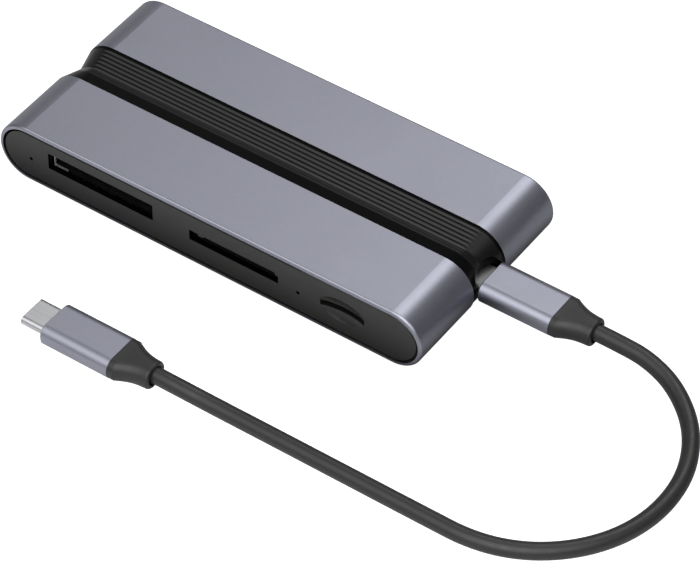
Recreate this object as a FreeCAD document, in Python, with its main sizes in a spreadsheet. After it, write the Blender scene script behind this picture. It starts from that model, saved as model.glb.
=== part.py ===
"""Card-reader USB hub: two aluminium sleeves on a ribbed plastic spine, with a short detachable USB-C cable.

Millimetres. Origin at the centre of the hub's underside, on the surface it stands on.
+X runs along the hub to the end where the cable plugs in, -Y is the card-slot face, +Z is up.
"""
import FreeCAD
import Part
import Sketcher
import math
import os
import re

from FreeCAD import Placement, Rotation, Vector

SIZES = {
    # the hub's envelope
    "hub_length": 119.0, "hub_depth": 54.0, "hub_height": 16.15, "foot_proud": 0.05, "foot_sink": 0.5,
    "pad_half": 9.0, "pad_round": 2.5, "pad_x": 40.0, "pad_y": 17.5,
    # aluminium sleeves
    "sleeve_wall": 1.0, "rim_round": 0.7,
    # the waist between the sleeves
    "waist_centre": 0.35, "waist_half": 6.4, "waist_sink": 1.8, "spine_bore": 4.1,
    "flange_length": 4.0, "flange_wall": 1.2, "slip_gap": 0.05,
    "rib_first": -2.25, "rib_pitch": 1.05, "rib_depth": 0.27, "rib_width": 0.8,
    # the dish round the host port
    "dish_round": 6.3, "dish_sink": 2.9,
    # the two end plates
    "fascia_inset": 0.12, "fascia_gap": 0.5, "fascia_round": 0.35, "plate_thick": 1.6, "skirt_length": 3.0,
    "skirt_wall": 0.8,
    # the circuit board and its screws
    "board_half_length": 53.0, "board_half_width": 24.0, "board_top": 6.2, "board_thick": 1.2,
    "screw_x": 48.3, "screw_y": 8.4, "screw_radius": 0.75, "screw_head": 1.5, "boss_radius": 1.8,
    # card slots in the front plate
    "cf_centre": -30.0, "cf_wide": 30.2, "cf_low": 7.03, "cf_high": 11.77, "cf_back": 2.0,
    "sd_left": -4.5, "sd_right": 20.4, "sd_low": 7.04, "sd_high": 10.03, "sd_back": 0.5,
    "micro_centre": 37.93, "micro_wide": 12.0, "micro_low": 7.25, "micro_high": 8.75, "micro_back": -10.3,
    "scoop_half_wide": 6.25, "scoop_half_high": 3.36, "scoop_depth": 1.0, "scoop_centre": 8.24,
    "slider_travel": 1.2, "sheet_thick": 0.25,
    # the two pinhole lamps beside the slots
    "lamp_left": -50.27, "lamp_right": 25.83, "lamp_height": 7.27, "lamp_radius": 0.48,
    "lamp_sink": 1.2,
    # ports in the rear plate
    "port_a_left": -34.0, "port_a_right": -13.0, "port_a_wide": 13.1, "port_a_high": 5.72, "port_a_mid": 9.35,
    "port_c_data": 10.0, "port_c_power": 30.0,
    # USB-C shells: the socket's outside and the plug's outside
    "socket_wide": 8.94, "socket_high": 3.16, "socket_wall": 0.3, "socket_long": 7.0,
    "shell_wide": 8.25, "shell_high": 2.4, "shell_wall": 0.25, "shell_long": 6.65,
    # the plug's grip and boot
    "grip_wide": 11.5, "grip_high": 5.7, "grip_round": 2.6, "grip_wall": 0.8, "grip_long": 18.7,
    "boot_long": 9.5, "collar_bore": 2.5, "collar_sink": 1.0,
    # where the two plugs are, by the middle of each grip's front face
    "host_x": 59.8, "far_x": -15.5, "far_y": -62.62, "far_z": 3.05,
    "cord_diameter": 4.1,
}

MID = "(hub_height + foot_proud) / 2"
OUTER = "(hub_height - foot_proud) / 2"
STRAIGHT = "(hub_length - hub_height + foot_proud) / 2"
INNER = f"({OUTER} - sleeve_wall)"
FRONT = "-hub_depth / 2"
REAR = "hub_depth / 2"
WAIST_FRONT = "(waist_centre - waist_half)"
WAIST_REAR = "(waist_centre + waist_half)"
FACE_FRONT = "(-hub_depth / 2 + fascia_inset)"
FACE_REAR = "(hub_depth / 2 - fascia_inset)"
DISH_BOTTOM = f"({STRAIGHT} + {OUTER} - dish_sink)"

# Rib grooves on each broad side of the waist.
RIB_GROOVES = 8
# Sections of the boot: distance from the grip's end, width, height, corner radius.
BOOT_SECTIONS = [(1.5, 11.3, 5.7, 2.6), (3.0, 9.75, 5.76, 2.65), (4.6, 8.45, 5.86, 2.75),
                 (6.6, 7.5, 5.98, 2.85), (9.5, 7.1, 6.08, 2.95)]
# The cord's route from the host plug's boot round to the far plug's boot.
ROUTE = [(87.0, 0.45, 8.25), (93.0, 0.45, 8.25), (101.6, 0.25, 7.95), (110.5, -2.5, 6.6),
         (119.1, -9.5, 4.95), (123.95, -19.0, 3.45), (124.9, -29.0, 2.4), (123.05, -38.75, 2.07),
         (118.6, -47.5, 2.07), (111.85, -54.65, 2.07), (103.8, -59.4, 2.07), (95.1, -61.65, 2.07),
         (86.0, -61.7, 2.07), (70.0, -61.7, 2.07), (47.0, -61.65, 2.07), (28.0, -61.7, 2.07),
         (17.6, -62.45, 3.2), (11.7, -62.45, 3.2)]
# Share of the shorter run that each bend of the cord takes up.
BEND_SHARE = 0.45

doc = FreeCAD.newDocument("usb_hub")
sheet = doc.addObject("Spreadsheet::Sheet", "Sizes")
for row, (alias, size) in enumerate(SIZES.items(), start=1):
    sheet.set(f"A{row}", alias)
    sheet.set(f"B{row}", str(size))
    sheet.setAlias(f"B{row}", alias)
probe = doc.addObject("App::FeaturePython", "Probe")
probe.addProperty("App::PropertyFloat", "amount")
doc.recompute()

PARTS = []


def bound(text):
    """An expression in plain size names, with each name pointing at the sheet."""
    def point(match):
        word = match.group()
        return "Sizes." + word if word in SIZES else word
    return re.sub(r"[a-z][a-z_]+", point, str(text))


def number(text):
    """What an expression in the sheet's names comes to."""
    probe.setExpression("amount", bound(text))
    probe.recompute()
    return probe.amount


def keep(label, item, at=None):
    """Makes item the sub-part called label, moved to at = (x, y, z) expressions."""
    item.Label = label
    if at:
        for axis, text in zip("xyz", at):
            item.setExpression(f"Placement.Base.{axis}", bound(text))
    PARTS.append(item)
    return item


# ---- Part primitives ----

def block(name, x, y, z):
    """A box between pairs of expressions along each axis."""
    item = doc.addObject("Part::Box", name)
    for prop, axis, (low, high) in zip(("Length", "Width", "Height"), "xyz", (x, y, z)):
        item.setExpression(prop, bound(f"({high}) - ({low})"))
        item.setExpression(f"Placement.Base.{axis}", bound(low))
    return item


def rod(name, axis, radius, low, high, centre):
    """A cylinder along X, Y or Z from low to high; centre holds its other two coordinates."""
    item = doc.addObject("Part::Cylinder", name)
    item.setExpression("Radius", bound(radius))
    item.setExpression("Height", bound(f"({high}) - ({low})"))
    turn = {"X": (Vector(0, 1, 0), 90), "Y": (Vector(1, 0, 0), -90), "Z": (Vector(0, 0, 1), 0)}[axis]
    item.Placement = Placement(Vector(), Rotation(*turn))
    place = dict(zip("xyz".replace(axis.lower(), ""), centre))
    place[axis.lower()] = low
    for letter, text in place.items():
        item.setExpression(f"Placement.Base.{letter}", bound(text))
    return item


def fuse(name, items):
    item = doc.addObject("Part::MultiFuse", name)
    item.Shapes = items
    item.Refine = True
    return item


def cut(name, base, tools):
    item = doc.addObject("Part::Cut", name)
    item.Base = base
    item.Tool = tools[0] if len(tools) == 1 else fuse(name + "_tools", tools)
    item.Refine = True
    return item


def group(name, items):
    """Several separate solids in one sub-part."""
    item = doc.addObject("Part::Compound", name)
    item.Links = items
    return item


def pill(name, axis, wide, high, low, top, centre):
    """A bar along X or Y with a slot-shaped section, wide across and high in Z, from low to top."""
    side = "y" if axis == "X" else "x"
    across, up = centre
    half = f"(({wide}) - ({high})) / 2"
    span = {axis.lower(): (low, top), side: (f"{across} - {half}", f"{across} + {half}"),
            "z": (f"{up} - ({high}) / 2", f"{up} + ({high}) / 2")}
    core = block(name + "_core", span["x"], span["y"], span["z"])
    ends = [rod(f"{name}_end{i}", axis, f"({high}) / 2", low, top, (f"{across} {sign} {half}", up))
            for i, sign in enumerate("-+")]
    return fuse(name, [core] + ends)


# ---- PartDesign bodies and sketches ----

def new_body(name):
    return doc.addObject("PartDesign::Body", name)


def origin_plane(body, role):
    return next(f for f in body.Origin.OriginFeatures if f.Role == role)


def new_sketch(body, name, role, offset="0", lift="0"):
    """A sketch on one of the body's origin planes, offset along its normal and lifted along its vertical."""
    sketch = body.newObject("Sketcher::SketchObject", name)
    sketch.AttachmentSupport = [(origin_plane(body, role), "")]
    sketch.MapMode = "FlatFace"
    sketch.setExpression("AttachmentOffset.Base.z", bound(offset))
    sketch.setExpression("AttachmentOffset.Base.y", bound(lift))
    return sketch


def bind(sketch, kind, first, text):
    """Adds a driving dimension and ties it to an expression."""
    index = sketch.addConstraint(Sketcher.Constraint(kind, *first, number(text)))
    sketch.setExpression(f"Constraints[{index}]", bound(text))


def place_point(sketch, geometry, corner, x, y):
    """Ties a point of the sketch to expressions, counted from the sketch's origin."""
    for kind, text in (("DistanceX", x), ("DistanceY", y)):
        bind(sketch, kind, (-1, 1, geometry, corner), text)


def draw_polygon(sketch, corners):
    """A closed outline through corners given as pairs of expressions."""
    spots = [Vector(number(x), number(y), 0) for x, y in corners]
    first = sketch.GeometryCount
    count = len(spots)
    for i in range(count):
        sketch.addGeometry(Part.LineSegment(spots[i], spots[(i + 1) % count]), False)
    for i in range(count):
        sketch.addConstraint(Sketcher.Constraint("Coincident", first + i, 2, first + (i + 1) % count, 1))
    for i, (x, y) in enumerate(corners):
        place_point(sketch, first + i, 1, x, y)


def draw_slot(sketch, half, radius, x="0", y="0"):
    """A slot-shaped outline: two level lines and two half circles, half apart from the middle."""
    reach, size, mid_x, mid_y = (number(t) for t in (half, radius, x, y))
    first = sketch.GeometryCount
    left, right = Vector(mid_x - reach, mid_y, 0), Vector(mid_x + reach, mid_y, 0)
    rise = Vector(0, size, 0)
    upward = Vector(0, 0, 1)
    sketch.addGeometry([
        Part.LineSegment(left - rise, right - rise),
        Part.ArcOfCircle(Part.Circle(right, upward, size), -math.pi / 2, math.pi / 2),
        Part.LineSegment(right + rise, left + rise),
        Part.ArcOfCircle(Part.Circle(left, upward, size), math.pi / 2, 3 * math.pi / 2)], False)
    for i in range(4):
        sketch.addConstraint(Sketcher.Constraint("Tangent", first + i, 2, first + (i + 1) % 4, 1))
    sketch.addConstraint(Sketcher.Constraint("Horizontal", first))
    sketch.addConstraint(Sketcher.Constraint("Horizontal", first + 2))
    bind(sketch, "Radius", (first + 1,), radius)
    place_point(sketch, first + 1, 3, f"({x}) + ({half})", y)
    bind(sketch, "DistanceX", (-1, 1, first + 3, 3), f"({x}) - ({half})")


def draw_rounded(sketch, wide, high, radius, x="0", y="0"):
    """A rectangle with rounded corners, centred on x, y."""
    width, height, size, mid_x, mid_y = (number(t) for t in (wide, high, radius, x, y))
    first = sketch.GeometryCount
    upward = Vector(0, 0, 1)
    for quarter, (sign_x, sign_y) in enumerate(((1, -1), (1, 1), (-1, 1), (-1, -1))):
        corner = Vector(mid_x + sign_x * (width / 2 - size), mid_y + sign_y * (height / 2 - size), 0)
        start = math.pi / 2 * (quarter - 1)
        circle = Part.Circle(corner, upward, size)
        sketch.addGeometry(Part.ArcOfCircle(circle, start, start + math.pi / 2), False)
    arcs = range(first, first + 4)
    for i in range(4):
        here, there = sketch.Geometry[first + i], sketch.Geometry[first + (i + 1) % 4]
        sketch.addGeometry(Part.LineSegment(here.EndPoint, there.StartPoint), False)
    for i in range(4):
        line = first + 4 + i
        sketch.addConstraint(Sketcher.Constraint("Tangent", arcs[i], 2, line, 1))
        sketch.addConstraint(Sketcher.Constraint("Tangent", line, 2, arcs[(i + 1) % 4], 1))
        sketch.addConstraint(Sketcher.Constraint("Horizontal" if i % 2 else "Vertical", line))
    bind(sketch, "Radius", (arcs[0],), radius)
    for i in (1, 2, 3):
        sketch.addConstraint(Sketcher.Constraint("Equal", arcs[0], arcs[i]))
    bind(sketch, "DistanceX", (-1, 1, first + 4, 1), f"({x}) + ({wide}) / 2")
    bind(sketch, "DistanceX", (-1, 1, first + 6, 1), f"({x}) - ({wide}) / 2")
    bind(sketch, "DistanceY", (-1, 1, first + 5, 1), f"({y}) + ({high}) / 2")
    bind(sketch, "DistanceY", (-1, 1, first + 7, 1), f"({y}) - ({high}) / 2")


def draw_circle(sketch, radius, x, y):
    index = sketch.addGeometry(
        Part.Circle(Vector(number(x), number(y), 0), Vector(0, 0, 1), number(radius)), False)
    bind(sketch, "Radius", (index,), radius)
    place_point(sketch, index, 3, x, y)


def grow(body, kind, sketch, length, both_ways=False, turned=False):
    """Adds a Pad or Pocket of that length, and makes sure that it changed the body the right way."""
    before = body.Shape.Volume if body.Tip else 0.0
    feature = body.newObject(f"PartDesign::{kind}", sketch.Name + "_" + kind.lower())
    feature.Profile = sketch
    feature.Midplane = both_ways
    feature.Reversed = turned
    feature.setExpression("Length", bound(length))
    sketch.Visibility = False
    doc.recompute()
    change = body.Shape.Volume - before
    if (change > 0) != (kind == "Pad"):
        raise ValueError(f"{sketch.Name}: a {kind} changed the volume by {change:.3f}")
    return feature


def dress(body, kind, prop, size, wanted):
    """A Fillet or Chamfer on the edges that wanted(edge) picks."""
    base = body.Tip
    names = [f"Edge{i}" for i, edge in enumerate(base.Shape.Edges, start=1) if wanted(edge)]
    if not names:
        raise ValueError(f"{body.Name}: no edge to {kind}")
    feature = body.newObject(f"PartDesign::{kind}", f"{body.Name}_{kind.lower()}")
    feature.Base = (base, names)
    feature.setExpression(prop, bound(size))
    doc.recompute()
    return feature


def lies_at(edge, axis, place):
    """True for an edge that lies in the plane where that coordinate is place."""
    low, high = {"X": ("XMin", "XMax"), "Y": ("YMin", "YMax"), "Z": ("ZMin", "ZMax")}[axis]
    box = edge.BoundBox
    return abs(getattr(box, low) - place) < 1e-4 and abs(getattr(box, high) - place) < 1e-4


def on_outline(edge, radius):
    """True for an edge on the slot-shaped outline of that radius about the hub's middle height."""
    middle = number(MID)
    spots = [vertex.Point for vertex in edge.Vertexes]
    ends = number(STRAIGHT)
    gaps = [math.hypot(max(abs(p.x) - ends, 0), p.z - middle) - radius for p in spots]
    return all(abs(gap) < 1e-3 for gap in gaps)


# ---- the hub's outside ----

def draw_foot(sketch, x="0", y="0"):
    """The outline of one foot pad."""
    draw_slot(sketch, "pad_half - pad_round", "pad_round", x, y)


def sleeve(label, start, end, mouth, pads):
    """A slot-section tube from Y = start towards -Y to end: a rounded mouth, and sinks for two foot pads."""
    body = new_body(label)
    ring = new_sketch(body, label + "_ring", "XZ_Plane", f"-({start})", MID)
    draw_slot(ring, STRAIGHT, OUTER)
    draw_slot(ring, STRAIGHT, INNER)
    grow(body, "Pad", ring, f"({start}) - ({end})")
    sinks = new_sketch(body, label + "_sinks", "XY_Plane", "foot_proud")
    for x in ("-pad_x", "pad_x"):
        draw_foot(sinks, x, pads)
    grow(body, "Pocket", sinks, "foot_sink", turned=True)
    place, radius = number(mouth), number(OUTER)
    dress(body, "Fillet", "Radius", "rim_round",
          lambda edge: lies_at(edge, "Y", place) and on_outline(edge, radius))
    keep(label, body)


def waist_slope(offset):
    """How far below the surface the hollow is, offset along Y from its middle."""
    return f"(waist_sink * (1 - abs({offset}) / waist_half))"


def rib_grooves(sketch):
    """V-grooves evenly spaced from near the hollow's middle up its rear slope, above and below."""
    for surface, inward in (("hub_height", "-"), ("foot_proud", "+")):
        for i in range(RIB_GROOVES):
            corners = []
            for side, deep in (("- rib_width / 2", "0"), ("+ 0", "rib_depth"), ("+ rib_width / 2", "0")):
                offset = f"(rib_first + {i} * rib_pitch {side})"
                corners.append((f"waist_centre + {offset}",
                                f"{surface} {inward} ({waist_slope(offset)} + {deep})"))
            draw_polygon(sketch, corners + [(corners[2][0], surface), (corners[0][0], surface)])


def sink_waist(body):
    """Hollows the waist's outside with a shallow V, straight above and below and swept round both ends."""
    straight = new_sketch(body, "spine_sink", "YZ_Plane")
    for surface, inward, outward in (("hub_height", "-", "+"), ("foot_proud", "+", "-")):
        draw_polygon(straight, [(WAIST_FRONT, surface), ("waist_centre", f"{surface} {inward} waist_sink"),
                                (WAIST_REAR, surface), (WAIST_REAR, f"{surface} {outward} 1"),
                                (WAIST_FRONT, f"{surface} {outward} 1")])
    grow(body, "Pocket", straight, f"2 * {STRAIGHT}", both_ways=True)
    bend = new_sketch(body, "spine_bend", "XY_Plane", MID)
    bend.setExpression("AttachmentOffset.Base.x", bound(STRAIGHT))
    draw_polygon(bend, [(OUTER, WAIST_FRONT), (f"{OUTER} - waist_sink", "waist_centre"),
                        (OUTER, WAIST_REAR), (f"{OUTER} + 1", WAIST_REAR), (f"{OUTER} + 1", WAIST_FRONT)])
    groove = body.newObject("PartDesign::Groove", "spine_end_groove")
    groove.Profile = bend
    groove.ReferenceAxis = (bend, ["V_Axis"])
    groove.Angle = 180
    groove.Midplane = True
    mirror = body.newObject("PartDesign::Mirrored", "spine_mirror")
    mirror.Originals = [groove]
    mirror.MirrorPlane = (origin_plane(body, "YZ_Plane"), [""])
    body.Tip = mirror
    doc.recompute()


def spine_frame():
    """The plastic middle: hollow, with a flange into each sleeve and the host port's hole in its dish."""
    body = new_body("spine_frame")
    block_outline = new_sketch(body, "spine_outline", "XZ_Plane", f"-({WAIST_REAR})", MID)
    draw_slot(block_outline, STRAIGHT, OUTER)
    grow(body, "Pad", block_outline, "2 * waist_half")
    flange = new_sketch(body, "spine_flange", "XZ_Plane", f"-({WAIST_REAR} + flange_length)", MID)
    draw_slot(flange, STRAIGHT, f"{INNER} - slip_gap")
    grow(body, "Pad", flange, "2 * (waist_half + flange_length)")
    sink_waist(body)
    bore = new_sketch(body, "spine_hollow", "XZ_Plane", f"-({WAIST_REAR} + flange_length)", MID)
    draw_slot(bore, STRAIGHT, "spine_bore")
    grow(body, "Pocket", bore, "2 * (waist_half + flange_length)", turned=True)
    wide = f"({INNER} - slip_gap - flange_wall)"
    for name, place, turned in (("front", f"{WAIST_FRONT} - flange_length", False),
                                ("rear", f"{WAIST_REAR} + flange_length", True)):
        mouth = new_sketch(body, f"spine_mouth_{name}", "XZ_Plane", f"-({place})", MID)
        draw_slot(mouth, STRAIGHT, wide)
        grow(body, "Pocket", mouth, "flange_length + 0.5", turned=turned)
    for i, (x, y) in enumerate(screw_places()):
        post = new_sketch(body, f"spine_boss{i}", "XY_Plane", "board_top - board_thick")
        draw_circle(post, "boss_radius", x, y)
        grow(body, "Pad", post, f"board_top - board_thick - ({MID} - {wide}) + 0.3", turned=True)
        hole = new_sketch(body, f"spine_screw_hole{i}", "XY_Plane", "board_top - board_thick")
        draw_circle(hole, "screw_radius", x, y)
        grow(body, "Pocket", hole, "2")
    port = new_sketch(body, "spine_port", "YZ_Plane", f"{STRAIGHT} + 2")
    draw_slot(port, "(socket_wide - socket_high) / 2", "socket_high / 2 + slip_gap", "waist_centre", MID)
    grow(body, "Pocket", port, "10", turned=True)
    dish = new_sketch(body, "spine_dish", "XY_Plane", MID)
    draw_circle(dish, "dish_round", f"{DISH_BOTTOM} + dish_round", "waist_centre")
    grow(body, "Pocket", dish, "hub_height", both_ways=True)
    ribs = new_sketch(body, "spine_ribs", "YZ_Plane")
    rib_grooves(ribs)
    grow(body, "Pocket", ribs, f"2 * {STRAIGHT} + 8", both_ways=True)
    keep("spine_frame", body)


def screw_places():
    """The four board screws, as pairs of expressions."""
    return [(f"{sx} screw_x", f"waist_centre {sy} screw_y") for sx in ("-", "0 +") for sy in "-+"]


def plate(body, name, face, back, turned, skirt_to):
    """An end plate with a rounded face edge and a skirt that slides into the sleeve."""
    slab = new_sketch(body, name + "_slab", "XZ_Plane", f"-({back})", MID)
    draw_slot(slab, STRAIGHT, f"{INNER} - fascia_gap")
    grow(body, "Pad", slab, "plate_thick - fascia_inset", turned=turned)
    skirt = new_sketch(body, name + "_skirt", "XZ_Plane", f"-({back})", MID)
    draw_slot(skirt, STRAIGHT, f"{INNER} - slip_gap")
    draw_slot(skirt, STRAIGHT, f"{INNER} - slip_gap - skirt_wall")
    grow(body, "Pad", skirt, skirt_to, turned=not turned)
    place, radius = number(face), number(f"{INNER} - fascia_gap")
    dress(body, "Fillet", "Radius", "fascia_round",
          lambda edge: lies_at(edge, "Y", place) and on_outline(edge, radius))


def sd_outline():
    """The SD slot: a key tab hangs from its roof near the left, and its top right corner is cut."""
    return [("sd_left", "sd_low"), ("sd_right", "sd_low"), ("sd_right", "sd_high - 0.8"),
            ("sd_right - 0.7", "sd_high - 0.7"), ("sd_right - 1.2", "sd_high"),
            ("sd_left + 4.3", "sd_high"), ("sd_left + 3.9", "sd_high - 0.5"),
            ("sd_left + 2.7", "sd_high - 0.5"), ("sd_left + 2.4", "sd_high"), ("sd_left", "sd_high")]


def front_fascia():
    """The card-slot plate, with the thumb scoop round the microSD slot."""
    body = new_body("front_fascia")
    plate(body, "front", FACE_FRONT, f"{FRONT} + plate_thick", False, "skirt_length")
    scoop = body.newObject("PartDesign::SubtractiveEllipsoid", "front_scoop")
    reach = "(3 * scoop_depth)"
    scoop.setExpression("Radius1", bound("scoop_half_high / 0.745"))
    scoop.setExpression("Radius2", bound("scoop_half_wide / 0.745"))
    scoop.setExpression("Radius3", bound(reach))
    scoop.AttachmentSupport = [(origin_plane(body, "XY_Plane"), "")]
    scoop.MapMode = "FlatFace"
    middle = ("micro_centre", f"{FACE_FRONT} - {reach} + scoop_depth", "scoop_centre")
    for axis, text in zip("xyz", middle):
        scoop.setExpression(f"AttachmentOffset.Base.{axis}", bound(text))
    doc.recompute()
    slots = new_sketch(body, "front_slots", "XZ_Plane", f"-({FRONT} + plate_thick)")
    draw_rounded(slots, "cf_wide", "cf_high - cf_low", "0.3", "cf_centre", "(cf_low + cf_high) / 2")
    draw_polygon(slots, sd_outline())
    draw_rounded(slots, "micro_wide", "micro_high - micro_low", "0.2", "micro_centre",
                 "(micro_low + micro_high) / 2")
    for x in ("lamp_left", "lamp_right"):
        draw_circle(slots, "lamp_radius", x, "lamp_height")
    grow(body, "Pocket", slots, "plate_thick + 1", turned=True)
    keep("front_fascia", body)


def rear_fascia():
    """The port plate at the back."""
    body = new_body("rear_fascia")
    plate(body, "rear", FACE_REAR, f"{REAR} - plate_thick", True, "skirt_length")
    slots = new_sketch(body, "rear_slots", "XZ_Plane", f"-({REAR} - plate_thick)")
    for x in ("port_a_left", "port_a_right"):
        draw_rounded(slots, "port_a_wide + 0.1", "port_a_high + 0.1", "0.15", x, "port_a_mid")
    for x in ("port_c_data", "port_c_power"):
        draw_slot(slots, "(socket_wide - socket_high) / 2", "socket_high / 2 + slip_gap", x, MID)
    grow(body, "Pocket", slots, "plate_thick + 1")
    keep("rear_fascia", body)


def foot_pads():
    """Four thin rubber pads set into the flat underside."""
    for side, sign_y in (("front", "-"), ("rear", "0 +")):
        for end, sign_x in (("left", "-"), ("right", "0 +")):
            label = f"foot_pad_{side}_{end}"
            body = new_body(label)
            outline = new_sketch(body, label + "_outline", "XY_Plane")
            draw_foot(outline)
            grow(body, "Pad", outline, "foot_proud + foot_sink")
            keep(label, body, (f"{sign_x} pad_x", f"{sign_y} pad_y", "0"))


# ---- inside the hub ----

def main_board():
    slab = block("board_slab", ("-board_half_length", "board_half_length"),
                 ("-board_half_width", "board_half_width"), ("board_top - board_thick", "board_top"))
    holes = [rod(f"board_hole{i}", "Z", "screw_radius + 0.15", "board_top - 2 * board_thick",
                 "board_top + 1", spot) for i, spot in enumerate(screw_places())]
    keep("main_board", cut("main_board", slab, holes))


def board_screws():
    screws = []
    for i, (x, y) in enumerate(screw_places()):
        head = rod(f"screw_head{i}", "Z", "screw_head", "board_top", "board_top + 0.8", (x, y))
        shank = rod(f"screw_shank{i}", "Z", "screw_radius", "board_top - board_thick - 1.9", "board_top",
                    (x, y))
        slot = block(f"screw_slot{i}", (f"{x} - 0.9", f"{x} + 0.9"), (f"{y} - 0.2", f"{y} + 0.2"),
                     ("board_top + 0.4", "board_top + 1"))
        screws.append(cut(f"screw{i}", fuse(f"screw_blank{i}", [head, shank]), [slot]))
    keep("board_screws", group("board_screws", screws))


def chips_and_pads():
    """The controllers under the board, and the soft pads that carry their heat down to the rear sleeve."""
    bottom = "board_top - board_thick"
    chips, pads = [], []
    for i, (x, y, half) in enumerate(((0.0, 16.0, 4.5), (20.0, 16.0, 4.0), (-24.0, 16.0, 3.5))):
        across, along = (f"{x - half}", f"{x + half}"), (f"{y - half}", f"{y + half}")
        chips.append(block(f"chip{i}", across, along, (f"{bottom} - 1", bottom)))
        pads.append(block(f"pad{i}", across, along, ("foot_proud + sleeve_wall", f"{bottom} - 1")))
    keep("controller_chips", group("controller_chips", chips))
    keep("thermal_pads", group("thermal_pads", pads))


def lamps():
    """A light pipe behind each pinhole, and the lamp on the board behind it."""
    lights = []
    for side in ("left", "right"):
        x, z = f"lamp_{side}", "lamp_height"
        tip = rod(f"pipe_tip_{side}", "Y", "lamp_radius - 0.02", f"{FACE_FRONT} + lamp_sink",
                  f"{FRONT} + plate_thick", (x, z))
        bulk = rod(f"pipe_bulk_{side}", "Y", "0.9", f"{FRONT} + plate_thick",
                   f"{FRONT} + plate_thick + 1.2", (x, z))
        label = f"light_pipe_{side}"
        keep(label, fuse(label, [tip, bulk]))
        lights.append(block(f"lamp_chip_{side}", (f"{x} - 0.8", f"{x} + 0.8"), ("-23.3", "-22.5"),
                            ("board_top", "board_top + 1.2")))
    keep("status_lamps", group("status_lamps", lights))


def row_of_pins(label, count, middle, pitch, wide, y, z):
    """A row of equal contact pins across X."""
    pins = []
    for i in range(count):
        x = f"{middle} + {(i - (count - 1) / 2) * pitch}"
        pins.append(block(f"{label}_pin{i}", (f"{x} - {wide / 2}", f"{x} + {wide / 2}"), y, z))
    keep(label, group(label, pins))


def cage(label, x, y, top, thick):
    """A thin steel cover over a card socket: a roof and two side walls standing on the board."""
    whole = block(label + "_blank", x, y, ("board_top", top))
    inside = block(label + "_inside", (f"{x[0]} + {thick}", f"{x[1]} - {thick}"),
                   (f"{y[0]} - 1", f"{y[1]} + 1"), ("board_top - 1", f"{top} - {thick}"))
    keep(label, cut(label, whole, [inside]))


def cfexpress_socket():
    low, high = "(cf_centre - cf_wide / 2)", "(cf_centre + cf_wide / 2)"
    front, back = f"{FRONT} + plate_thick + 0.2", "cf_back"
    across = (f"{low} - 1", f"{high} + 1")
    cage("cfexpress_cage", (f"{low} - 1.3", f"{high} + 1.3"), (front, f"{back} + 6"), "12.05",
         "sheet_thick")
    blank = block("cfexpress_base_blank", across, (f"{front} + 0.6", back), ("board_top", "11.75"))
    well = block("cfexpress_base_well", (f"{low} + 0.2", f"{high} - 0.2"), (front, f"{back} + 1"),
                 ("cf_low", "12"))
    keep("cfexpress_base", cut("cfexpress_base", blank, [well]))
    header = block("cfexpress_header_blank", across, (back, f"{back} + 5.8"), ("board_top", "11.7"))
    mouth = block("cfexpress_header_mouth", (f"{low} + 3", f"{high} - 3"), (f"{back} - 1", f"{back} + 4"),
                  ("cf_low + 1.6", "cf_low + 2.6"))
    keep("cfexpress_header", cut("cfexpress_header", header, [mouth]))
    row_of_pins("cfexpress_contacts", 12, "cf_centre", 1.8, 0.5, ("cf_back + 0.5", "cf_back + 4"),
                ("cf_low + 1.9", "cf_low + 2.3"))
    thick = (f"{front} + 0.1", f"{front} + 0.5")
    upright = block("cfexpress_spring_upright", (f"{low} + 0.3", f"{low} + 0.6"), thick,
                    ("cf_low - 0.2", "11.5"))
    tread = block("cfexpress_spring_tread", (f"{low} + 0.3", f"{low} + 4.2"), thick,
                  ("cf_low - 0.2", "cf_low + 0.05"))
    keep("cfexpress_ground_spring", fuse("cfexpress_ground_spring", [upright, tread]))


def sd_socket():
    front, back = f"{FRONT} + plate_thick + 0.2", "sd_back"
    blank = block("sd_base_blank", ("sd_left - 0.9", "sd_right + 0.9"), (front, f"{back} + 2"),
                  ("board_top", "sd_high - 0.2"))
    well = block("sd_base_well", ("sd_left + 0.1", "sd_right - 0.1"), (f"{front} - 1", back),
                 ("sd_low + 0.06", "sd_high + 1"))
    keep("sd_socket_base", cut("sd_socket_base", blank, [well]))
    cage("sd_socket_cage", ("sd_left - 1.15", "sd_right + 1.15"), (front, f"{back} + 2"),
         "sd_high + 0.05", "sheet_thick")
    row_of_pins("sd_socket_contacts", 9, "(sd_left + sd_right) / 2", 2.5, 1.0,
                ("sd_back - 6", "sd_back - 2.5"), ("sd_low + 0.06", "sd_low + 0.3"))


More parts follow.
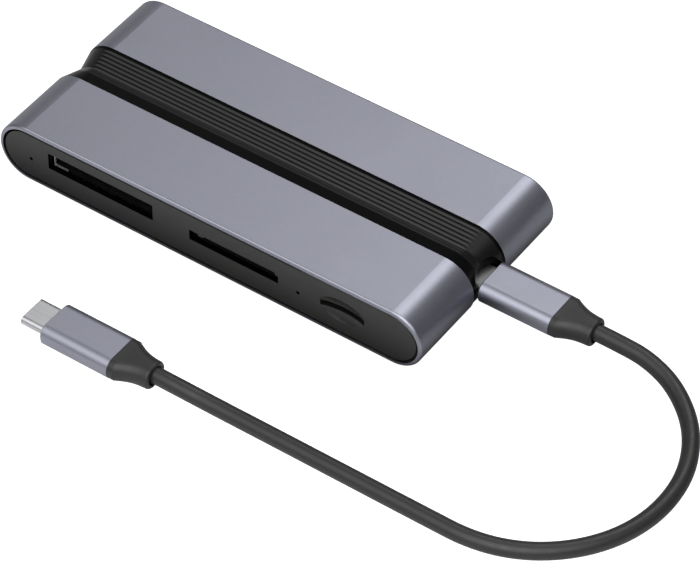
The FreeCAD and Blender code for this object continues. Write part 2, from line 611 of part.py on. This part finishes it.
def microsd_socket():
    """Push-push socket: the card drives the slider back against its spring."""
    front, back = f"{FRONT} + plate_thick + 0.2", "micro_back"
    blank = block("micro_base_blank", ("micro_centre - 6.9", "micro_centre + 7.6"),
                  (front, f"{back} + 1"), ("board_top", "micro_high - 0.15"))
    well = block("micro_base_well", ("micro_centre - 5.65", "micro_centre + 5.65"),
                 (f"{front} - 1", back), ("micro_low + 0.1", "micro_high + 1"))
    channel = block("micro_base_channel", ("micro_centre + 5", "micro_centre + 6.95"),
                    ("micro_back - 9", back), ("micro_low - 0.1", "micro_high + 1"))
    keep("microsd_socket_base", cut("microsd_socket_base", blank, [well, channel]))
    cage("microsd_socket_cage", ("micro_centre - 7.1", "micro_centre + 7.8"), (front, f"{back} + 1"),
         "micro_high + 0.1", "0.2")
    runner = block("micro_runner", ("micro_centre + 5.8", "micro_centre + 6.85"),
                   ("micro_back - 8.4", "micro_back - 4.4"), ("micro_low", "micro_high - 0.25"))
    heel = block("micro_heel", ("micro_centre + 4.6", "micro_centre + 6"),
                 ("micro_back - 5.4", "micro_back - 4.4"), ("micro_low + 0.2", "micro_high - 0.35"))
    keep("microsd_slider", fuse("microsd_slider", [runner, heel]))
    row_of_pins("microsd_contacts", 8, "micro_centre", 1.1, 0.6, ("micro_back - 3", "micro_back - 1"),
                ("micro_low + 0.1", "micro_low + 0.3"))
    keep("microsd_spring", coil_spring(),
         ("micro_centre + 6.33", "micro_back - 4.35", "(micro_low + micro_high) / 2 - 0.1"))


def coil_spring():
    """A fine coil along +Y from the origin."""
    turns, length, radius, wire = 7, 4.2, 0.4, 0.09
    path = Part.Wire(Part.makeHelix(length / turns * 0.96, (length - 2 * wire) * 0.96, radius).Edges)
    ring = Part.Wire(Part.makeCircle(wire, Vector(radius, 0, 0), Vector(0, 1, 0)))
    item = doc.addObject("Part::Feature", "microsd_spring")
    coil = path.makePipeShell([ring], True, True)
    coil.translate(Vector(0, 0, wire))
    coil.rotate(Vector(), Vector(1, 0, 0), -90)
    item.Shape = coil
    return item


def usb_c_socket(label, middle, high_end, along):
    """A USB-C receptacle with its mouth at high_end along X or Y: a steel shell, a tongue and a stand."""
    rear = f"({high_end}) - socket_long"
    outer = pill(label + "_outer", along, "socket_wide", "socket_high", rear, high_end, (middle, MID))
    inner = pill(label + "_inner", along, "socket_wide - 2 * socket_wall", "socket_high - 2 * socket_wall",
                 f"{rear} - 1", f"({high_end}) + 1", (middle, MID))
    keep(label + "_shell", cut(label + "_shell", outer, [inner]))
    root = pill(label + "_root", along, "socket_wide - 2 * socket_wall", "socket_high - 2 * socket_wall",
                rear, f"{rear} + 1", (middle, MID))
    blade = [(f"{rear} + 0.5", f"({high_end}) - 0.6"), (f"{middle} - 3.345", f"{middle} + 3.345")]
    foot = [(f"{rear} + 0.2", f"{rear} + 3"), (f"{middle} - 2.8", f"{middle} + 2.8")]
    if along == "Y":
        blade.reverse()
        foot.reverse()
    tongue = block(label + "_blade", *blade, (f"{MID} - 0.35", f"{MID} + 0.35"))
    keep(label + "_tongue", fuse(label + "_tongue", [root, tongue]))
    keep(label + "_stand", block(label + "_stand", *foot, ("board_top", f"{MID} - socket_high / 2")))


def usb_a_socket(label, middle):
    """A USB-A receptacle opening at the rear: a folded steel shell and a contact tongue high inside it."""
    low, high = "port_a_mid - port_a_high / 2", "port_a_mid + port_a_high / 2"
    left, right = f"{middle} - port_a_wide / 2", f"{middle} + port_a_wide / 2"
    mouth, rear = "hub_depth / 2", "hub_depth / 2 - 13.8"
    across, up = (f"{left} + 0.3", f"{right} - 0.3"), (f"{low} + 0.3", f"{high} - 0.3")
    outer = block(label + "_outer", (left, right), (rear, mouth), (low, high))
    inner = block(label + "_inner", across, (f"{rear} - 1", f"{mouth} + 1"), up)
    keep(label + "_shell", cut(label + "_shell", outer, [inner]))
    root = block(label + "_root", across, (rear, f"{rear} + 2.2"), up)
    blade = block(label + "_blade", (f"{middle} - 5.55", f"{middle} + 5.55"),
                  (f"{rear} + 1", f"{mouth} - 1.6"), (f"{high} - 2.5", f"{high} - 0.66"))
    keep(label + "_tongue", fuse(label + "_tongue", [root, blade]))


# ---- the cable ----

def boot(label, at):
    """The soft sleeve behind the grip: a short band, then a hollow-sided flare down to the collar."""
    body = new_body(label)
    band = new_sketch(body, label + "_band", "YZ_Plane", "grip_long")
    draw_rounded(band, "grip_wide - 0.1", "grip_high - 0.1", "grip_round - 0.05")
    grow(body, "Pad", band, str(BOOT_SECTIONS[0][0]))
    rings = []
    for i, (place, wide, high, radius) in enumerate(BOOT_SECTIONS):
        ring = new_sketch(body, f"{label}_ring{i}", "YZ_Plane", f"grip_long + {place}")
        draw_rounded(ring, str(wide), str(high), str(radius))
        rings.append(ring)
    flare = body.newObject("PartDesign::AdditiveLoft", label + "_flare")
    flare.Profile = rings[0]
    flare.Sections = rings[1:]
    doc.recompute()
    spigot = new_sketch(body, label + "_spigot", "YZ_Plane", "grip_long")
    draw_rounded(spigot, "grip_wide - 2 * grip_wall", "grip_high - 2 * grip_wall", "grip_round - grip_wall")
    grow(body, "Pad", spigot, "4", turned=True)
    place = number("grip_long + boot_long")
    dress(body, "Fillet", "Radius", "0.6", lambda e: lies_at(e, "X", place))
    bore = new_sketch(body, label + "_bore", "YZ_Plane", "grip_long + boot_long")
    draw_circle(bore, "collar_bore", "0", "0")
    grow(body, "Pocket", bore, "collar_sink")
    keep(label, body, at)


def grip(label, at):
    """The plug's aluminium grip: a rounded tube with a front wall that the steel shell passes through."""
    body = new_body(label)
    outside = new_sketch(body, label + "_outside", "YZ_Plane")
    draw_rounded(outside, "grip_wide", "grip_high", "grip_round")
    grow(body, "Pad", outside, "grip_long")
    hollow = new_sketch(body, label + "_hollow", "YZ_Plane", "grip_long")
    draw_rounded(hollow, "grip_wide - 2 * grip_wall", "grip_high - 2 * grip_wall", "grip_round - grip_wall")
    grow(body, "Pocket", hollow, "grip_long - 1")
    nose = new_sketch(body, label + "_nose", "YZ_Plane")
    draw_slot(nose, "(shell_wide - shell_high) / 2", "shell_high / 2")
    grow(body, "Pocket", nose, "2", turned=True)
    high, wide = number("shell_high / 2") + 0.1, number("shell_wide / 2") + 0.1
    dress(body, "Chamfer", "Size", "0.25",
          lambda edge: lies_at(edge, "X", 0.0) and (max(abs(v.Z) for v in edge.Vertexes) > high
                                                    or min(abs(v.Y) for v in edge.Vertexes) > wide))
    keep(label, body, at)


def plug(prefix, at):
    """One USB-C plug pointing along -X, with the middle of its grip's front face at at."""
    shell = cut(prefix + "_shell",
                pill(prefix + "_shell_out", "X", "shell_wide", "shell_high", "-shell_long", "3", ("0", "0")),
                [pill(prefix + "_shell_in", "X", "shell_wide - 2 * shell_wall", "shell_high - 2 * shell_wall",
                      "-shell_long - 1", "4", ("0", "0"))])
    keep(prefix + "_shell", shell, at)
    core = pill(prefix + "_core", "X", "shell_wide - 2 * shell_wall", "shell_high - 2 * shell_wall",
                "-shell_long + 0.2", "3", ("0", "0"))
    slit = block(prefix + "_slit", ("-shell_long - 1", "-0.5"), ("-3.45", "3.45"), ("-0.45", "0.45"))
    keep(prefix + "_insert", cut(prefix + "_insert", core, [slit]), at)
    keep(prefix + "_board", block(prefix + "_board", ("3", "13"), ("-4.2", "4.2"), ("-0.4", "0.4")),
         [f"{spot} + ({start})" for spot, start in zip(at, ("3", "-4.2", "-0.4"))])
    grip(prefix + "_grip", at)
    boot(prefix + "_boot", at)


def cord():
    """A round tube of straight runs joined by tangent arcs, each as large as its two runs allow."""
    spots = [Vector(*spot) for spot in ROUTE]
    edges, start, radii = [], spots[0], []
    for before, here, after in zip(spots, spots[1:], spots[2:]):
        into, out = (here - before), (after - here)
        turn = into.getAngle(out)
        reach = BEND_SHARE * min(into.Length, out.Length)
        radii.append(reach / math.tan(turn / 2))
        into.normalize()
        out.normalize()
        bisector = (out - into).normalize()
        entry, leave = here - into * reach, here + out * reach
        swell = radii[-1] * (1 / math.cos(turn / 2) - 1)
        edges.append(Part.LineSegment(start, entry).toShape())
        edges.append(Part.Arc(entry, here + bisector * swell, leave).toShape())
        start = leave
    edges.append(Part.LineSegment(start, spots[-1]).toShape())
    path = Part.Wire(edges)
    radius = number("cord_diameter") / 2
    ring = Part.Wire(Part.makeCircle(radius, spots[0], spots[1] - spots[0]))
    item = doc.addObject("Part::Feature", "cable_cord")
    item.Shape = path.makePipeShell([ring], True, True)
    share = item.Shape.Volume / (math.pi * radius ** 2 * path.Length)
    print("cord radii", [round(r, 1) for r in radii])
    print(f"cord length {path.Length:.1f}, volume over section times length {share:.4f}")
    keep("cable_cord", item)


def build():
    sleeve("front_sleeve", WAIST_FRONT, FRONT, FRONT, "-pad_y")
    sleeve("rear_sleeve", REAR, WAIST_REAR, REAR, "pad_y")
    spine_frame()
    front_fascia()
    rear_fascia()
    foot_pads()
    main_board()
    board_screws()
    chips_and_pads()
    lamps()
    cfexpress_socket()
    sd_socket()
    microsd_socket()
    usb_c_socket("host_port", "waist_centre", f"{DISH_BOTTOM} - 0.2", "X")
    usb_c_socket("data_port", "port_c_data", REAR, "Y")
    usb_c_socket("power_port", "port_c_power", REAR, "Y")
    usb_a_socket("usb_port_left", "port_a_left")
    usb_a_socket("usb_port_right", "port_a_right")
    plug("host_plug", ("host_x", "waist_centre", MID))
    plug("far_plug", ("far_x", "far_y", "far_z"))
    cord()


def write_parts():
    """Checks every object and every sub-part, then writes each sub-part's STEP file."""
    doc.recompute()
    for item in doc.Objects:
        if "Invalid" in item.State or "Error" in item.State:
            raise ValueError(f"{item.Label} did not build: {item.State}")
    os.makedirs("parts", exist_ok=True)
    for item in PARTS:
        shape = item.Shape
        if shape.isNull() or not shape.isValid() or not shape.Solids:
            raise ValueError(f"{item.Label} is not a sound solid")
        shape.exportStep(f"parts/{item.Label}.step")
    print(len(PARTS), "sub-parts")


build()
write_parts()
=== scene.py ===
"""Looks for the card-reader hub and its cable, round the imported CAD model, in metres."""
import math

import bpy
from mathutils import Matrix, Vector


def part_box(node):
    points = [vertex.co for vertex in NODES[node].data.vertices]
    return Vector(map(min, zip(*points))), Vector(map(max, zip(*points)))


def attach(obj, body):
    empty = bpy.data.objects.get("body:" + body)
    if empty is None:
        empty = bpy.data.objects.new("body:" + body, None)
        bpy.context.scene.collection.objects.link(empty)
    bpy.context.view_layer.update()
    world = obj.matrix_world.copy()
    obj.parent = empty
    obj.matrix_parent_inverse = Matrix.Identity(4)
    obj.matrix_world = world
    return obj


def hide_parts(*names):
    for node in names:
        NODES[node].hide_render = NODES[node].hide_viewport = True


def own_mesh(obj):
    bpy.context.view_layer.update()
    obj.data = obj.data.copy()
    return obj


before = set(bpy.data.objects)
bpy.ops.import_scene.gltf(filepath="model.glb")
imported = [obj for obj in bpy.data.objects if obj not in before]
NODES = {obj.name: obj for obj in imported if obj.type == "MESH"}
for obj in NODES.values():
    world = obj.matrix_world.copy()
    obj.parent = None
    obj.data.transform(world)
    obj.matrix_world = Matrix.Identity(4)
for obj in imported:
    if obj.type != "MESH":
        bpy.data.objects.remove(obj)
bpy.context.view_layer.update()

MM = 0.001

# ---- the view: its turn, tilt and place, the lens and sensor width in millimetres, and how far it sees ----
AZIMUTH = math.radians(35.039)
ELEVATION = math.radians(45.30)
CAMERA_AT = (0.38939, -0.52493, 0.63420)
LENS = 201.49
SENSOR = 36
VIEW_REACH = 10

# ---- the hub's corners, read from the frame ----
SLEEVES = ("front_sleeve", "rear_sleeve")
HUB_LOW = Vector((min(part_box(n)[0][i] for n in SLEEVES) for i in range(3)))
HUB_HIGH = Vector((max(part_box(n)[1][i] for n in SLEEVES) for i in range(3)))

# ---- sizes that the frame doesn't hold ----
CORD_DIAMETER = 4.1 * MM
# How much the crests of the waist's ribs are rounded, and which edges count as crests.
CREST_ROUND = 0.11 * MM
CREST_ANGLE = math.radians(25)
# Where the waist is ribbed along Y, and its specular level beside the ribs and on them; the low level beside
# them is painted shade.
RIBS_SPAN = (-2.35 * MM, 6 * MM)
WAIST_SHADED_GLOSS = (0.08, 0.36)
# Where the end plates are slot walls rather than faces, along Y and X, and the plates' specular level on the
# faces and on the walls, where it is low and the black deeper as painted shade.
SLOT_DEPTHS = (-26.78 * MM, 26.78 * MM)
SLOT_REACH = (-60 * MM, 27 * MM)
PLATE_SHADED_GLOSS = (0.5, 0.02)
# The points of the cable's route from the host plug's boot to the free plug's, as in part.py.
ROUTE_MM = [(87.0, 0.45, 8.25), (93.0, 0.45, 8.25), (101.6, 0.25, 7.95), (110.5, -2.5, 6.6),
            (119.1, -9.5, 4.95), (123.95, -19.0, 3.45), (124.9, -29.0, 2.4), (123.05, -38.75, 2.07),
            (118.6, -47.5, 2.07), (111.85, -54.65, 2.07), (103.8, -59.4, 2.07), (95.1, -61.65, 2.07),
            (86.0, -61.7, 2.07), (70.0, -61.7, 2.07), (47.0, -61.65, 2.07), (28.0, -61.7, 2.07),
            (17.6, -62.45, 3.2), (11.7, -62.45, 3.2)]

# ---- colours ----
ALUMINIUM = (0.28, 0.285, 0.335)
NICKEL = (0.49, 0.495, 0.51)
# The nickel darkened, as painted shade on the host plug's shell beside the hub.
SHADED_NICKEL = (0.18, 0.18, 0.185)
# A lighter copy of the nickel, as a painted highlight on the slot's ground spring in the slot's shade.
LIT_SPRING_NICKEL = (0.85, 0.85, 0.86)
GOLD = (0.75, 0.52, 0.2)
WAIST_BLACK = (0.001, 0.001, 0.001)
PLATE_BLACK = (0.005, 0.0052, 0.0046)
# A deeper black, as painted shade on the slots' walls.
SLOT_SHADE_BLACK = (0.0005, 0.0005, 0.0005)
SOCKET_BLACK = (0.004, 0.004, 0.0042)
CHIP_BLACK = (0.02, 0.02, 0.022)
BOOT_BLACK = (0.014, 0.014, 0.0145)
JACKET_BLACK = (0.015, 0.015, 0.0155)
PAD_BLACK = (0.03, 0.03, 0.03)
PAD_BLUE = (0.25, 0.3, 0.4)
MASK_GAP = (0.010, 0.075, 0.035)
MASK_TRACK = (0.018, 0.12, 0.055)
CLEAR = (0.75, 0.78, 0.76)
WHITE = (1, 1, 1)

# ---- light ----
# Soft patches of sky: compass bearing, height, inner and outer edge in degrees, then brightness.
BACK_LIGHT = (-13, 55.6, 10.5, 22.5, 2.64)
FRONT_LIGHT = (167, 50.7, 0, 60, 3.9)
LEFT_LIGHT = (-60, 4, 0, 42, 0.34)
# The brightness of the rest of the sky, at the horizon and overhead.
SKY_LOW = 0.16
SKY_HIGH = 0.34
# Light that the floor adds for the camera alone, so that it looks white and yet isn't mirrored as white.
FLOOR_LIFT = 1.0
# Where the floor adds no such light, under the waist's right end, along X and Y.
END_SHADE = ((48 * MM, 56 * MM), (-2 * MM, 5 * MM))
# How grey the floor is against the hub, as painted shade, and away from it, what it gains in front, as
# painted light, and over what distance.
FLOOR_NEAR = 0.10
FLOOR_FAR = 0.38
FLOOR_FRONT = 0.37
FLOOR_SPREAD = 12 * MM
FLOOR_HALF = 3.0

# ---- what nodes are like ----
# A Mix node's two colour inputs and its colour output.
MIX_INPUTS = (6, 7)
MIX_OUTPUT = 2
# The values that noise mostly keeps between.
NOISE_SPREAD = (0.3, 0.7)


# ---- node trees ----

class Nodes:
    """A node tree with short ways to add to it."""

    def __init__(self, tree):
        self.tree = tree

    def node(self, kind, **settings):
        """A new node; a setting is one of its properties or else an input, with _ for a space."""
        made = self.tree.nodes.new(kind)
        for key, value in settings.items():
            if hasattr(made, key):
                setattr(made, key, value)
            else:
                made.inputs[key.replace("_", " ")].default_value = value
        return made

    def link(self, source, target):
        self.tree.links.new(source, target)

    def feed(self, made, values):
        """Gives the node's first inputs their values, each a socket to link or a constant."""
        for target, value in zip(made.inputs, values):
            if isinstance(value, bpy.types.NodeSocket):
                self.link(value, target)
            else:
                target.default_value = value

    def maths(self, operation, *values):
        made = self.node("ShaderNodeMath", operation=operation)
        self.feed(made, values)
        return made.outputs["Value"]

    def vector_maths(self, operation, *values, output="Vector"):
        made = self.node("ShaderNodeVectorMath", operation=operation)
        self.feed(made, values)
        return made.outputs[output]

    def span(self, source, low, high, to_low, to_high, **settings):
        """Takes low..high to to_low..to_high, and holds there beyond them."""
        made = self.node("ShaderNodeMapRange", From_Min=low, From_Max=high,
                         To_Min=to_low, To_Max=to_high, **settings)
        self.link(source, made.inputs["Value"])
        return made.outputs["Result"]

    def along(self, axis, source):
        """A point's coordinate along X, Y or Z."""
        split = self.node("ShaderNodeSeparateXYZ")
        self.link(source, split.inputs["Vector"])
        return split.outputs[axis]


class Shader(Nodes):
    """A principled material with short ways to add its detail."""

    def __init__(self, name, colour, roughness, metallic=0.0, **sockets):
        self.material = bpy.data.materials.new(name)
        self.material.use_nodes = True
        super().__init__(self.material.node_tree)
        self.shader = self.tree.nodes["Principled BSDF"]
        self.shader.inputs["Base Color"].default_value = (*colour, 1)
        self.shader.inputs["Roughness"].default_value = roughness
        self.shader.inputs["Metallic"].default_value = metallic
        for socket, value in sockets.items():
            self.shader.inputs[socket.replace("_", " ")].default_value = value
        self.bumps = None

    def places(self):
        return self.node("ShaderNodeTexCoord").outputs["Object"]

    def noise(self, scale, detail, stretch=None):
        """Noise with scale blotches to the metre, finer or coarser along each axis by stretch."""
        texture = self.node("ShaderNodeTexNoise", Scale=scale, Detail=detail)
        source = self.places()
        if stretch:
            mapping = self.node("ShaderNodeMapping", Scale=stretch)
            self.link(source, mapping.inputs["Vector"])
            source = mapping.outputs["Vector"]
        self.link(source, texture.inputs["Vector"])
        return texture.outputs["Fac"]

    def band(self, axis, low, high):
        """1 where the point's coordinate is between low and high, else 0."""
        value = self.along(axis, self.places())
        above = self.maths("GREATER_THAN", value, low)
        below = self.maths("LESS_THAN", value, high)
        return self.maths("MULTIPLY", above, below)

    def mix(self, factor, first, second):
        """A colour from first to second as the factor goes from 0 to 1."""
        made = self.node("ShaderNodeMix", data_type="RGBA")
        self.link(factor, made.inputs["Factor"])
        for slot, colour in zip(MIX_INPUTS, (first, second)):
            if isinstance(colour, tuple):
                made.inputs[slot].default_value = (*colour, 1)
            else:
                self.link(colour, made.inputs[slot])
        return made.outputs[MIX_OUTPUT]

    def colour(self, source):
        self.link(source, self.shader.inputs["Base Color"])

    def mottle(self, noise, colour, share):
        """The colour, darker and lighter by a share of itself as the noise goes."""
        self.colour(self.mix(noise, tuple(c * (1 - share) for c in colour),
                             tuple(c * (1 + share) for c in colour)))

    def rough(self, noise, low, high):
        """Roughness between low and high as the noise goes."""
        self.link(self.span(noise, *NOISE_SPREAD, low, high), self.shader.inputs["Roughness"])

    def gloss(self, source, low, high):
        """A specular level of low where the source is 0 and high where it is 1."""
        self.link(self.span(source, 0, 1, low, high), self.shader.inputs["Specular IOR Level"])

    def bump(self, height, strength, distance):
        """Adds one layer of bump on top of those before it."""
        made = self.node("ShaderNodeBump", Strength=strength, Distance=distance)
        self.link(height, made.inputs["Height"])
        if self.bumps:
            self.link(self.bumps, made.inputs["Normal"])
        self.bumps = made.outputs["Normal"]
        self.link(self.bumps, self.shader.inputs["Normal"])


# ---- materials ----

def anodised(name):
    """Fine bead-blasted anodising: a slight grain and slow changes of gloss."""
    made = Shader(name, ALUMINIUM, roughness=0.36, metallic=1.0)
    made.rough(made.noise(60, 3), 0.33, 0.39)
    made.mottle(made.noise(900, 2), ALUMINIUM, 0.035)
    made.bump(made.noise(9000, 2), 0.10, 0.01 * MM)
    return made


def black_plastic(name, colour, roughness, gloss=0.5):
    """Moulded plastic with a faint spark-eroded grain."""
    made = Shader(name, colour, roughness, Specular_IOR_Level=gloss)
    made.mottle(made.noise(140, 4), colour, 0.12)
    made.rough(made.noise(500, 3), roughness - 0.05, roughness + 0.06)
    made.bump(made.noise(5000, 3), 0.15, 0.02 * MM)
    return made


def steel(name, colour=NICKEL, roughness=0.28):
    """Nickel-plated pressed steel with drawing lines along it."""
    made = Shader(name, colour, roughness, metallic=1.0)
    lines = made.noise(900, 3, stretch=(0.06, 1.0, 1.0))
    made.rough(lines, roughness - 0.04, roughness + 0.05)
    made.bump(lines, 0.01, 0.01 * MM)
    return made


def board_mask(name):
    """Green solder mask with the tracks showing faintly through it."""
    made = Shader(name, MASK_GAP, roughness=0.32, Coat_Weight=0.3)
    tracks = made.noise(420, 1, stretch=(1.0, 4.0, 1.0))
    made.colour(made.mix(made.span(tracks, 0.48, 0.52, 0.0, 1.0), MASK_GAP, MASK_TRACK))
    made.bump(tracks, 0.1, 0.03 * MM)
    return made


def gold(name):
    """A thin gold plating, worn unevenly."""
    made = Shader(name, GOLD, roughness=0.25, metallic=1.0)
    made.rough(made.noise(2000, 2), 0.2, 0.36)
    return made


def rubber(name, colour, roughness=0.6):
    """Soft moulded elastomer with a fine grain."""
    made = Shader(name, colour, roughness, Specular_IOR_Level=0.4)
    made.mottle(made.noise(180, 4), colour, 0.15)
    made.rough(made.noise(600, 3), roughness - 0.06, roughness + 0.06)
    made.bump(made.noise(3000, 3), 0.25, 0.03 * MM)
    return made


def clear(name):
    """Moulded clear plastic, not quite polished."""
    made = Shader(name, CLEAR, roughness=0.2, Transmission_Weight=0.8, IOR=1.49)
    made.rough(made.noise(900, 2), 0.12, 0.3)
    return made


def waist_plastic(name):
    """The waist's black plastic, glossier on its ribs than beside them, where the low specular level is
    painted shade.
    """
    made = black_plastic(name, WAIST_BLACK, 0.2)
    made.gloss(made.band("Y", *RIBS_SPAN), *WAIST_SHADED_GLOSS)
    return made


def plate_plastic(name):
    """The end plates' black plastic, with painted shade on the slots' walls: darker and less glossy there
    than on the faces and the thumb scoop.
    """
    made = black_plastic(name, PLATE_BLACK, 0.34)
    # Inside the slots the colour and the specular level drop, as painted shade.
    inside = made.maths("MULTIPLY", made.band("Y", *SLOT_DEPTHS), made.band("X", *SLOT_REACH))
    face = made.shader.inputs["Base Color"].links[0].from_socket
    made.colour(made.mix(inside, face, SLOT_SHADE_BLACK))
    made.gloss(inside, *PLATE_SHADED_GLOSS)
    return made


# ---- the CAD's own pieces ----

def dress(paint, *names):
    for name in names:
        data = NODES[name].data
        data.materials.clear()
        data.materials.append(paint.material)


def ending(*ends):
    return [n for n in NODES if n.endswith(ends)]


def starting(*starts):
    return [n for n in sorted(NODES) if n.startswith(starts)]


def dress_cad():
    dress(anodised("anodised"), *SLEEVES, "host_plug_grip", "far_plug_grip")
    dress(waist_plastic("waist_plastic"), "spine_frame")
    dress(plate_plastic("plate_plastic"), "front_fascia", "rear_fascia")
    dress(black_plastic("socket_plastic", SOCKET_BLACK, 0.5, gloss=0.2),
          *ending("_tongue", "_stand", "_base", "_header", "_insert", "_slider"))
    dress(black_plastic("chip_plastic", CHIP_BLACK, 0.45), "controller_chips")
    dress(steel("pressed_steel"), *ending("_cage", "_shell", "_spring"), "board_screws")
    # The host plug's shell in a darker, rougher copy of the steel: painted shade from the hub beside it.
    dress(steel("shaded_steel", SHADED_NICKEL, 0.42), "host_plug_shell")
    # The ground spring in a lighter, rougher copy of the steel: a painted highlight in the slot's shade.
    dress(steel("lit_spring_steel", LIT_SPRING_NICKEL, 0.5), "cfexpress_ground_spring")
    dress(board_mask("solder_mask"), "main_board", "host_plug_board", "far_plug_board")
    dress(gold("gold_flash"), *ending("_contacts"))
    dress(clear("light_pipe"), "light_pipe_left", "light_pipe_right", "status_lamps")
    dress(rubber("pad_rubber", PAD_BLACK), *starting("foot_pad"))
    dress(rubber("thermal_rubber", PAD_BLUE), "thermal_pads")
    dress(rubber("boot_rubber", BOOT_BLACK, 0.42), "host_plug_boot", "far_plug_boot")


def soften_ribs():
    """Rounds the crests of the waist's ribs, so that they catch the light as fine lines."""
    bevel = NODES["spine_frame"].modifiers.new("soft_crests", "BEVEL")
    bevel.width = CREST_ROUND
    bevel.segments = 3
    bevel.limit_method = "ANGLE"
    bevel.angle_limit = CREST_ANGLE
    bevel.harden_normals = True


# ---- pieces made here ----

def place(name, data):
    """A new object in the scene."""
    made = bpy.data.objects.new(name, data)
    bpy.context.scene.collection.objects.link(made)
    return made


def cord():
    """The cable's jacket on its route."""
    curve = bpy.data.curves.new("cable_jacket", "CURVE")
    curve.dimensions = "3D"
    spline = curve.splines.new("NURBS")
    spline.points.add(len(ROUTE_MM) - 1)
    for point, spot in zip(spline.points, ROUTE_MM):
        point.co = (*(c * MM for c in spot), 1)
    spline.order_u = 3
    spline.use_endpoint_u = True
    spline.resolution_u = 24
    curve.bevel_depth = CORD_DIAMETER / 2
    curve.bevel_resolution = 12
    curve.use_fill_caps = True
    piece = place("cable_jacket", curve)
    curve.materials.append(rubber("jacket_rubber", JACKET_BLACK, 0.38).material)
    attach(piece, "cable")
    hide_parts("cable_cord")


def slider_spring():
    """The microSD socket's coil, as a hub piece with a mesh of its own."""
    piece = place("slider_spring", NODES["microsd_spring"].data.copy())
    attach(piece, "hub")
    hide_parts("microsd_spring")
    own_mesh(piece)


# ---- camera, floor and light ----

def camera():
    data = bpy.data.cameras.new("view")
    data.lens = LENS
    data.sensor_width = SENSOR
    data.clip_end = VIEW_REACH
    made = place("view", data)
    made.location = CAMERA_AT
    made.rotation_euler = (math.pi / 2 - ELEVATION, 0, AZIMUTH)
    bpy.context.scene.camera = made


def floor_shade_and_light(paint):
    """The floor's painted shade and light: darker against the hub, as a soft shade there, and lightest in
    front of it.
    """
    spot = paint.vector_maths("ABSOLUTE", paint.places())
    spot = paint.vector_maths("SUBTRACT", spot, (HUB_HIGH.x, HUB_HIGH.y, 0))
    spot = paint.vector_maths("MAXIMUM", spot, (0, 0, 0))
    reach = paint.vector_maths("LENGTH", spot, output="Value")
    around = paint.span(reach, 0, FLOOR_SPREAD, FLOOR_NEAR, FLOOR_FAR)
    ahead = paint.maths("SUBTRACT", HUB_LOW.y, paint.along("Y", paint.places()))
    in_front = paint.span(ahead, 0, FLOOR_SPREAD, 0, FLOOR_FRONT)
    paint.colour(paint.maths("ADD", around, in_front))


def floor():
    """A broad plain floor, which adds its own light for the camera except in a patch under the hub's end."""
    mesh = bpy.data.meshes.new("floor")
    corners = [(x * FLOOR_HALF, y * FLOOR_HALF, 0) for x, y in ((-1, -1), (1, -1), (1, 1), (-1, 1))]
    mesh.from_pydata(corners, [], [(0, 1, 2, 3)])
    paint = Shader("floor_paint", WHITE, roughness=0.9, Specular_IOR_Level=0.0, Emission_Color=(*WHITE, 1))
    floor_shade_and_light(paint)
    seen = paint.node("ShaderNodeLightPath").outputs["Is Camera Ray"]
    under = paint.maths("MULTIPLY", *(paint.band(axis, *span) for axis, span in zip("XY", END_SHADE)))
    lift = paint.maths("MULTIPLY", paint.maths("SUBTRACT", 1.0, under), FLOOR_LIFT)
    paint.link(paint.maths("MULTIPLY", seen, lift), paint.shader.inputs["Emission Strength"])
    paint.bump(paint.noise(300, 2), 0.02, 0.1 * MM)
    mesh.materials.append(paint.material)
    place("floor", mesh)


def toward(bearing, height):
    """The direction at a bearing from +Y towards +X and a height above the floor, in degrees."""
    bearing, height = math.radians(bearing), math.radians(height)
    return (math.sin(bearing) * math.cos(height), math.cos(bearing) * math.cos(height), math.sin(height))


def lighting():
    """A dim sky with a soft patch behind the object, a broader one in front and a faint one at the left."""
    world = bpy.data.worlds.new("studio")
    world.use_nodes = True
    dome = Nodes(world.node_tree)
    sky = dome.tree.nodes["Background"]
    sky.inputs["Color"].default_value = (*WHITE, 1)
    ray = dome.node("ShaderNodeTexCoord").outputs["Generated"]
    total = dome.span(dome.along("Z", ray), 0, 1, SKY_LOW, SKY_HIGH, interpolation_type="SMOOTHSTEP")
    for bearing, height, inner, outer, bright in (BACK_LIGHT, FRONT_LIGHT, LEFT_LIGHT):
        cosine = dome.vector_maths("DOT_PRODUCT", ray, toward(bearing, height), output="Value")
        patch = dome.span(dome.maths("ARCCOSINE", cosine), math.radians(inner), math.radians(outer),
                          bright, 0, interpolation_type="SMOOTHSTEP")
        total = dome.maths("ADD", total, patch)
    dome.link(total, sky.inputs["Strength"])
    bpy.context.scene.world = world
    bpy.context.scene.view_settings.view_transform = "Standard"


camera()
cord()
dress_cad()
soften_ribs()
slider_spring()
floor()
lighting()
